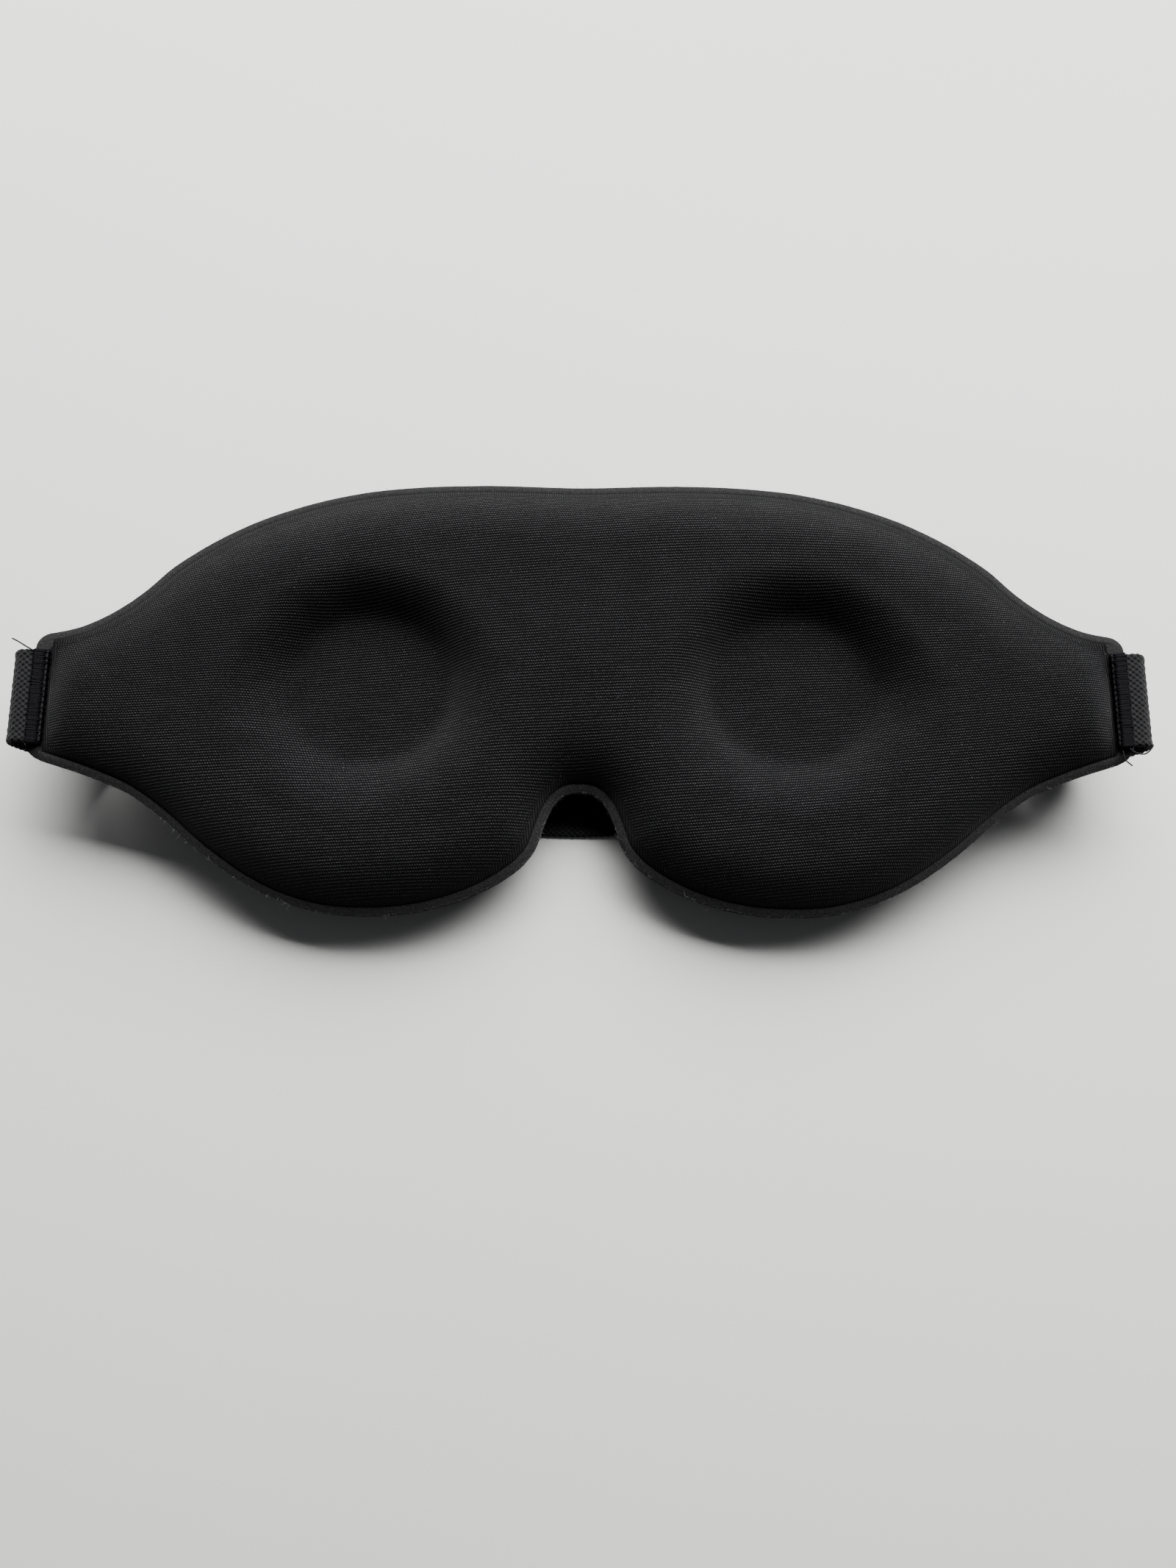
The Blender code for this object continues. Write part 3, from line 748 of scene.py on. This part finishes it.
def make_mask():
    """The two covers and the foam between them. The foam stands a little low inside the pad, so
    that it never shows through the cover."""
    knit = knit_material("face_knit", 1.0)
    outer = knit_material("front_knit", 0.8)
    foam = foam_material()
    place = Place(*mask_grid(0.7 * MM))
    top = face_height(place)
    moved = relaxed(place, top, 0.8 * MM)
    x, y, top = place.x + moved[..., 0], place.y + moved[..., 1], top + moved[..., 2]
    face = shell("face_cover_knit", x, y, top, top - COVER_THICK, knit)
    map_knit(face, place)
    place = Place(*mask_grid(1.0 * MM))
    under = front_height(place)
    front = shell("front_cover_knit", place.x, place.y, under + COVER_THICK, under, outer)
    map_knit(front, place)
    place = Place(*mask_grid(1.4 * MM))
    room = 0.02 * MM
    slack = 0.9 * MM * pad_share(place)
    top = face_height(place) - COVER_THICK - room - slack
    under = front_height(place) + COVER_THICK + room
    top = np.maximum(top, under + 0.3 * MM)
    inset = 1 - 0.12 * MM / HALF_HEIGHT
    core = shell("foam_core_moulded", place.x * inset, place.y * inset, top, under, foam)
    for piece, node, slot in (
        (face, "face_cover", "face_knit"),
        (front, "front_cover", "front_knit"),
        (core, "foam_core", "foam"),
    ):
        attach(piece, "mask")
        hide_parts(node)


# ---------------------------------------------------------------- webbing


def strap_y(x):
    """The middle of the strap's run on the floor: two straight runs joined by a gentle bend."""
    inner = np.minimum(np.abs(x), BEND_HALF)
    return SAG_Y + SLOPE * (inner**2 / (2 * BEND_HALF) + np.abs(x) - inner)


def seam_height(x):
    """The middle of the webbing where it's sewn on the wing."""
    return BASE + PLY_STACK + curl(x) + GAP + WEB_THICK / 2


def round_path(points, per_span=16):
    """A smooth path through the points."""
    p = np.array(points, float)
    p = np.concatenate([[2 * p[0] - p[1]], p, [2 * p[-1] - p[-2]]])
    t = np.arange(per_span)[:, None] / per_span
    found = []
    for a, b, c, d in zip(p[:-3], p[1:-2], p[2:-1], p[3:]):
        bent = (2 * a - 5 * b + 4 * c - d) * t**2 + (3 * b - a - 3 * c + d) * t**3
        found.append(0.5 * (2 * b + (c - a) * t + bent))
    return np.concatenate(found + [p[-2:-1]])


def even_path(path, across, step):
    """The path again, smoothed and evenly stepped, with across and the running length to match."""
    path, across = np.array(path, float), np.array(across, float)
    run = np.concatenate([[0], np.cumsum(np.linalg.norm(np.diff(path, axis=0), axis=1))])
    at = np.linspace(0, run[-1], max(2, int(round(run[-1] / step)) + 1))
    places = np.stack([np.interp(at, run, path[:, k]) for k in range(3)], axis=1)
    wide = np.stack([np.interp(at, run, across[:, k]) for k in range(3)], axis=1)
    for _ in range(3):
        places[1:-1] = (places[:-2] + 2 * places[1:-1] + places[2:]) / 4
    return places, wide / np.linalg.norm(wide, axis=1)[:, None], at


def weave_relief(along, across):
    """Height of the webbing's face: rounded ribs with picks across them, and a corded selvedge."""
    half = WEB_WIDTH / 2
    rib = np.abs(np.sin(math.pi * across / RIB_WIDTH))
    shift = 0.22 * np.sin(math.pi * across / RIB_WIDTH)
    pick = np.sin(2 * math.pi * (along / PICK_LENGTH + shift))
    cord = np.exp(-(((half - np.abs(across) - 0.55 * MM) / (0.42 * MM)) ** 2))
    return (0.07 * rib + 0.055 * pick * rib + 0.12 * cord) * MM


def webbing(name, path, across, made_of):
    """A flat woven band along path, with its width along the level directions in across."""
    places, wide, run = even_path(path, across, 0.42 * MM)
    ahead = np.gradient(places, axis=0)
    up = np.cross(ahead, wide)
    up /= np.linalg.norm(up, axis=1)[:, None]
    count = 50
    crowded = np.sin(np.linspace(-math.pi / 2, math.pi / 2, count))
    s = crowded * 0.25 + np.linspace(-1, 1, count) * 0.75
    side = s * WEB_WIDTH / 2
    edge = np.clip((1 - np.abs(s)) / 0.06, 0, 1)
    half_thick = WEB_THICK / 2 * (0.35 + 0.65 * np.sqrt(1 - (1 - edge) ** 2)) - 0.16 * MM
    along = run[:, None]
    selvedge = np.sign(side) * (np.abs(s) > 0.97)
    waver = 0.10 * MM * np.sin(2 * math.pi * along / PICK_LENGTH) * selvedge
    relief_top = half_thick + weave_relief(along, side[None, :])
    relief_low = half_thick + weave_relief(along + 0.6 * MM, side[None, :])
    rows = places[:, None, :] + wide[:, None, :] * (side[None, :] + waver)[..., None]
    top = rows + up[:, None, :] * relief_top[..., None]
    low = rows - up[:, None, :] * relief_low[..., None]
    ring = np.concatenate([top, low[:, ::-1]], axis=1)
    size = ring.shape[1]
    index = np.arange(ring.shape[0] * size).reshape(ring.shape[:2])
    sides = band_quads(index[:-1], index[1:])
    faces = [*sides.tolist(), index[0].tolist(), index[-1].tolist()[::-1]]
    made = add_object(name, ring, faces, made_of)
    mapped = np.stack([
        np.repeat(along, size, axis=1),
        np.repeat(np.concatenate([side, side[::-1]])[None, :], len(run), axis=0),
    ], axis=-1).reshape(-1, 2)
    map_layer(made, "Weave", mapped / MM)
    return made


def fold_points(land, floor):
    """(x, z) places from the seam round the fold and in to where the strap lands."""
    start = HALF_LENGTH - SEWN
    top = float(seam_height(HALF_LENGTH))
    return [
        (start, float(seam_height(start))),
        (HALF_LENGTH, top),
        (HALF_LENGTH + 0.55 * FOLD_OUT, top + 0.2 * MM),
        (OUT - 0.3 * MM, top - 1.8 * MM),
        (OUT - 0.3 * MM, top - 4.5 * MM),
        (OUT - 3.0 * MM, top - 10 * MM),
        (land + 0.45 * (OUT - land), floor + 0.22 * (top - floor)),
        (land + 0.15 * (OUT - land), floor + 0.03 * (top - floor)),
        (land, floor),
    ]


def folded_end(side, land, floor):
    """Places and level directions of a strap end, from its seam to where it lands."""
    flat = round_path(fold_points(land, floor))
    out = int(np.argmax(flat[:, 0]))
    places, wide = [], []
    for i, (x, z) in enumerate(flat):
        share = float(smooth_step((i - out) / (len(flat) - 1 - out)))
        y = SEAM_Y if i < out else float(strap_y(x)) + (SEAM_Y - float(strap_y(flat[out, 0])))
        places.append((side * x, y, z))
        wide.append((-math.sin(side * TURN * share), math.cos(side * TURN * share), 0))
    return places, wide


ADJUSTER = Matrix.Translation((HINGE_X, float(strap_y(HINGE_X)), 0)) @ Matrix.Rotation(TURN, 4, "Z")
SQUARE = tuple(ADJUSTER.to_3x3() @ Vector((0, 1, 0)))


def in_adjuster(points):
    """World places and level directions of (x, z) points in the adjuster's frame."""
    return [tuple(ADJUSTER @ Vector((x, 0, z))) for x, z in points], [SQUARE] * len(points)


def u_turn(x, z, radius, outward=True):
    """A half circle upwards round (x, z), on its outer or its inner side."""
    sign = 1 if outward else -1
    angles = np.linspace(-math.pi / 2, math.pi / 2, 25)
    return [(x + sign * radius * math.cos(a), z + radius * math.sin(a)) for a in angles]


def closing_loop(bar_x, bar_z, radius):
    """A U of webbing round a bar whose plies close together towards the outside."""
    closed_at = 0.6
    shares = np.linspace(0.2, closed_at, 5)
    gaps = [CLOSED + (radius - CLOSED) * float(1 - smooth_step(t / closed_at)) for t in shares]
    path = [(bar_x + LOOP_REACH * 0.86, bar_z - CLOSED)]
    path += [(bar_x + LOOP_REACH * t, bar_z - g) for t, g in zip(shares[::-1], gaps[::-1])]
    path += u_turn(bar_x, bar_z, radius, outward=False)
    path += [(bar_x + LOOP_REACH * t, bar_z + g) for t, g in zip(shares, gaps)]
    return path + [(bar_x + LOOP_REACH, bar_z + CLOSED)]


def make_strap(web):
    """The long strap: from the left seam round the fold, along the floor, and round the ring."""
    low = WEB_THICK / 2
    places, wide = folded_end(-1, OUT - DROP_IN, low)
    climb_to = HINGE_X - SLIDER_REACH - SLIDER_CLEARANCE
    for x in np.arange(-(OUT - DROP_IN) + 1 * MM, climb_to, 1 * MM):
        share = float(smooth_step((x - climb_to + CLIMB) / CLIMB))
        places.append((x, float(strap_y(x)), low + (RAISED - low) * share))
        slope = SLOPE * float(np.clip(x / BEND_HALF, -1, 1))
        size = math.hypot(1, slope)
        wide.append((-slope / size, 1 / size, 0))
    turn = [(-RING_LENGTH - 2 * TURN_LEAD, RAISED)]
    turn += u_turn(-RING_LENGTH, RAISED + RUN_RADIUS, RUN_RADIUS)
    turn.append((-RING_LENGTH - TURN_LEAD, RAISED + 2 * RUN_RADIUS))
    turn_places, turn_wide = in_adjuster(turn)
    strap = webbing("elastic_strap", places + turn_places, wide + turn_wide, web)
    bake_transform(strap)
    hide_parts("left_strap_end", "strap_run")
    return strap


def make_tab(web):
    """The short tab: from the right seam round the fold to its loop round the ring."""
    junction = HINGE_X + (LOOP_REACH + GAP) * math.cos(TURN)
    places, wide = folded_end(1, junction, RING_Z + CLOSED)
    loop = closing_loop(0, RING_Z, RING_WIRE / 2 + GAP + WEB_THICK / 2)
    loop_places, loop_wide = in_adjuster(loop)
    tab = webbing("strap_tab", places[:-1] + loop_places[::-1], wide[:-1] + loop_wide, web)
    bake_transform(tab)
    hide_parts("right_strap_end", "tab_loop")
    return tab


def make_return(web):
    """The strap's upper layer: from the ring back to its loop round the slider's centre bar."""
    start = -RING_LENGTH - TURN_LEAD + 0.1 * MM
    end = -SLIDER_BACK + LOOP_REACH
    top = RAISED + 2 * RUN_RADIUS
    fall = SLIDER_BAR_Z + CLOSED - top
    drop = [
        (start + (end - start) * s, top + fall * float(smooth_step(s)))
        for s in np.linspace(0, 0.95, 9)
    ]
    loop = closing_loop(-SLIDER_BACK, SLIDER_BAR_Z, CENTRE_BAR / 2 + GAP + WEB_THICK / 2)
    places, wide = in_adjuster(drop + loop[::-1])
    back = webbing("strap_return", places, wide, web)
    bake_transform(back)
    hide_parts("return_run", "slider_loop")
    return back


def make_straps():
    web = webbing_material()
    for piece in (make_strap(web), make_tab(web), make_return(web)):
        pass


# ---------------------------------------------------------------- threads and fibres


def tubes(name, lines, radius, made_of, sides, taper=False):
    """Round threads along lines of points, all in one mesh."""
    points, faces, first = [], [], 0
    angles = np.arange(sides) * 2 * math.pi / sides
    ca, sa = np.cos(angles)[None, :, None], np.sin(angles)[None, :, None]
    for line in lines:
        line = np.array(line, float)
        ahead = np.gradient(line, axis=0)
        ahead /= np.maximum(np.linalg.norm(ahead, axis=1), 1e-12)[:, None]
        guide = np.array([0, 0, 1.0]) if abs(ahead[:, 2]).mean() < 0.8 else np.array([0, 1.0, 0])
        side = np.cross(ahead, guide)
        side /= np.maximum(np.linalg.norm(side, axis=1), 1e-12)[:, None]
        up = np.cross(side, ahead)
        n = len(line)
        r = radius * (1 - 0.7 * (np.linspace(0, 1, n)) ** 2 if taper else np.ones(n))
        ring = line[:, None] + r[:, None, None] * (side[:, None] * ca + up[:, None] * sa)
        points.append(ring.reshape(-1, 3))
        index = np.arange(n * sides).reshape(n, sides) + first
        quads = band_quads(index[:-1], index[1:])[:, [0, 3, 2, 1]]
        faces += [*quads.tolist(), index[0].tolist()[::-1], index[-1].tolist()]
        first += n * sides
    return add_object(name, np.concatenate(points), faces, made_of)


def satin_threads(side):
    """Parallel threads of a bar tack, wrapped over the sewn end of the webbing."""
    lines = []
    first = SEAM_Y - WEB_WIDTH / 2 - TACK_OVERHANG
    inner, outer = HALF_LENGTH - SEWN - 0.15 * MM, HALF_LENGTH - 0.1 * MM
    for i in range(int((WEB_WIDTH + 2 * TACK_OVERHANG) / TACK_PITCH)):
        y = first + TACK_PITCH * (i + 0.5) + rng.normal(0, 0.03 * MM)
        a = inner + rng.normal(0, 0.10 * MM)
        b = outer + rng.normal(0, 0.10 * MM)
        slant = rng.normal(0, 0.06 * MM)
        t = np.linspace(0, 1, 11)
        x = a + (b - a) * t
        over = WEB_THICK / 2 + 0.34 * MM + rng.normal(0, 0.03 * MM)
        arch = np.minimum(1, np.sin(math.pi * t) * 1.8)
        z = seam_height(x) - (1 - arch) * (WEB_THICK + 0.2 * MM) + arch * over
        if abs(y - SEAM_Y) >= WEB_WIDTH / 2:
            z = z - 0.35 * MM
        lines.append(np.stack([side * x, y + slant * (t - 0.5), z], axis=1))
    return lines


def under_threads(side):
    """The same stitching on the front of the wing."""
    lines = []
    for i in range(int(WEB_WIDTH / UNDER_PITCH)):
        y = SEAM_Y - WEB_WIDTH / 2 + UNDER_PITCH * (i + 0.5) + rng.normal(0, 0.03 * MM)
        t = np.linspace(0, 1, 7)
        x = HALF_LENGTH - SEWN + (SEWN - 0.3 * MM) * t + rng.normal(0, 0.08 * MM)
        z = BASE + curl(x) - 0.10 * MM - 0.12 * MM * np.sin(math.pi * t)
        lines.append(np.stack([side * x, np.full(7, y), z], axis=1))
    return lines


def make_bar_tacks():
    thread = thread_material("bar_tack_thread", *TACK_COLOURS)
    for side, word in ((-1, "left"), (1, "right")):
        lines = satin_threads(side) + under_threads(side)
        tack = tubes(f"{word}_satin_tack", lines, TACK_RADIUS, thread, 6)
        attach(tack, "mask")
        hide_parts(f"{word}_bar_tack")


def cross_stitches(x, z):
    """A zigzag of stitches on both sides of two plies, in the adjuster's frame."""
    lines = []
    gap = WEB_THICK + 0.30 * MM
    advance = ZIGZAG_SPAN / ZIGZAG_STITCHES
    shares = np.linspace(0, 1, 7)
    bow = np.sin(math.pi * shares) * 0.10 * MM
    for i in range(ZIGZAG_STITCHES):
        y = advance * i - ZIGZAG_SPAN / 2
        turn = 1 if i % 2 else -1
        for sign in (1, -1):
            lines.append([
                tuple(ADJUSTER @ Vector((
                    x + turn * ZIGZAG_WIDTH * (s - 0.5), y + advance * s, z + sign * (gap + b),
                )))
                for s, b in zip(shares, bow)
            ])
    return lines


def make_stitches():
    thread = thread_material("seam_thread", *SEAM_COLOURS)
    for name, node, body, x, z in (
        ("tab_zigzag", "tab_stitch", "strap", ZIGZAG_PLACE, RING_Z),
        ("slider_zigzag", "slider_stitch", "slider", ZIGZAG_PLACE - SLIDER_BACK, SLIDER_BAR_Z),
    ):
        row = tubes(name, cross_stitches(x, z), SEAM_RADIUS, thread, 6)
        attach(row, body)
        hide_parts(node)


def fibre(start, heading, length, curve):
    """A short bent fibre."""
    t = np.linspace(0, 1, 5)[:, None]
    return start + heading * length * t + curve * length * t**2


def make_fuzz():
    """Loose fibres along the cut edge."""
    pale = fibre_material("edge_fibre", FIBRE_COLOUR)
    lines = []
    places = np.concatenate([BROW_LINE[0], CHEEK_LINE[0]])
    squares = np.concatenate([BROW_LINE[1], -CHEEK_LINE[1]])
    for _ in range(FUZZ_COUNT):
        i = rng.integers(len(places))
        px, py = places[i]
        ox, oy = squares[i]
        z = BASE + float(curl(px)) + rng.uniform(0.1, PLY_STACK / MM) * MM
        heading = np.array([ox, oy, 0]) * rng.uniform(0.2, 1) + rng.normal(0, 0.6, 3)
        heading /= np.linalg.norm(heading)
        length = min(rng.exponential(0.28), 1.4) * MM + 0.12 * MM
        root = np.array([px - ox * 0.05 * MM, py - oy * 0.05 * MM, z])
        lines.append(fibre(root, heading, length, rng.normal(0, 0.5, 3)))
    fuzz = tubes("edge_fuzz", lines, FUZZ_RADIUS, pale, 3, taper=True)
    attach(fuzz, "mask")


def make_loose_threads():
    """Thread tails at the bar tacks, one at the left and two at the right, in millimetres."""
    thread = thread_material("loose_thread", *TAIL_COLOURS)
    tails = (
        ((-113.8, 4.6, 22.4), (-115.6, 5.5, 23.0), (-117.4, 6.6, 22.9), (-119.4, 7.7, 22.4)),
        (
            (113.6, -15.2, 22.4), (115.0, -16.1, 22.3), (116.8, -16.2, 22.0),
            (118.2, -15.2, 21.8), (118.9, -14.2, 21.7),
        ),
        ((112.5, -15.4, 21.6), (113.0, -17.2, 21.2), (114.6, -18.4, 20.6)),
    )
    lines = [round_path(np.array(tail) * MM, 6) for tail in tails]
    piece = tubes("thread_tails", lines, TAIL_RADIUS, thread, 6)
    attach(piece, "mask")


# ---------------------------------------------------------------- ring and slider


def make_ring(plastic):
    """The rectangular ring, with rounded corners and a slightly flattened wire."""
    inner = WEB_WIDTH / 2 + 0.6 * MM + RING_WIRE / 2
    corner = RING_WIRE
    centre = []
    for cx, cy, start in (
        (0, inner, 0), (-RING_LENGTH, inner, 90), (-RING_LENGTH, -inner, 180), (0, -inner, 270),
    ):
        ix = cx + (-corner if cx == 0 else corner)
        iy = cy + (-corner if cy > 0 else corner)
        for step in range(9):
            angle = math.radians(start + 90 / 8 * step)
            centre.append((ix + corner * math.cos(angle), iy + corner * math.sin(angle)))
    centre = np.array(centre)
    filled = []
    for a, b in zip(centre, np.roll(centre, -1, 0)):
        parts = max(1, int(np.linalg.norm(b - a) / (1.5 * MM)))
        filled += [a + (b - a) * k / parts for k in range(parts)]
    centre = np.array(filled)
    ahead = np.roll(centre, -1, 0) - np.roll(centre, 1, 0)
    out = np.stack([ahead[:, 1], -ahead[:, 0]], axis=1)
    out /= np.linalg.norm(out, axis=1)[:, None]
    sides = 20
    angles = np.arange(sides) * 2 * math.pi / sides
    across, height = (
        np.sign(part) * np.abs(part) ** 0.8 * (RING_WIRE / 2)
        for part in (np.cos(angles), np.sin(angles))
    )
    ring = np.empty((len(centre), sides, 3))
    ring[..., :2] = centre[:, None] + out[:, None] * across[None, :, None]
    ring[..., 2] = RING_Z + height
    world = np.array([ADJUSTER @ Vector(p) for p in ring.reshape(-1, 3)])
    index = np.arange(len(world)).reshape(ring.shape[:2])
    faces = band_quads(index, np.roll(index, -1, 0)).tolist()
    made = add_object("moulded_ring", world, faces, plastic)
    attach(made, "ring")
    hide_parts("adjuster_ring")


def make_model():
    make_mask()
    make_straps()
    make_bar_tacks()
    make_stitches()
    make_fuzz()
    make_loose_threads()
    plastic = plastic_material()
    make_ring(plastic)
    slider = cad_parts["adjuster_slider"]
    slider.data.materials.clear()
    slider.data.materials.append(plastic)


def make_table():
    size = 1.6
    corners = ((-size, -size), (size, -size), (size, size), (-size, size))
    points = [(x, y, -0.15 * MM) for x, y in corners]
    table = add_object("table_top", points, [[0, 1, 2, 3]], table_material())


def make_camera():
    camera = bpy.data.cameras.new("view")
    camera.sensor_fit = "HORIZONTAL"
    camera.sensor_width = 36
    camera.lens = 36.05
    camera.clip_start = 0.01
    placed = bpy.data.objects.new("view", camera)
    placed.location = (2.1 * MM, -73.3 * MM, 258.4 * MM)
    placed.rotation_euler = (math.radians(12), 0, math.radians(0.25))
    bpy.context.scene.collection.objects.link(placed)
    bpy.context.scene.camera = placed


def make_lights():
    """One broad soft light high behind the mask, and a faint even light from all round."""
    light = bpy.data.lights.new("window", "AREA")
    light.shape = "RECTANGLE"
    light.size, light.size_y = 1.2, 0.50
    light.spread = math.radians(95)
    light.energy = 15
    placed = bpy.data.objects.new("window", light)
    placed.location = (0.10, 0.50, 0.42)
    towards = Vector((0, 0.10, 0)) - placed.location
    placed.rotation_euler = towards.to_track_quat("-Z", "Y").to_euler()
    bpy.context.scene.collection.objects.link(placed)
    world = bpy.data.worlds.new("room")
    world.use_nodes = True
    background = world.node_tree.nodes["Background"]
    background.inputs["Color"].default_value = (0.93, 0.95, 1, 1)
    background.inputs["Strength"].default_value = 0.09
    bpy.context.scene.world = world


make_model()
make_table()
make_camera()
make_lights()
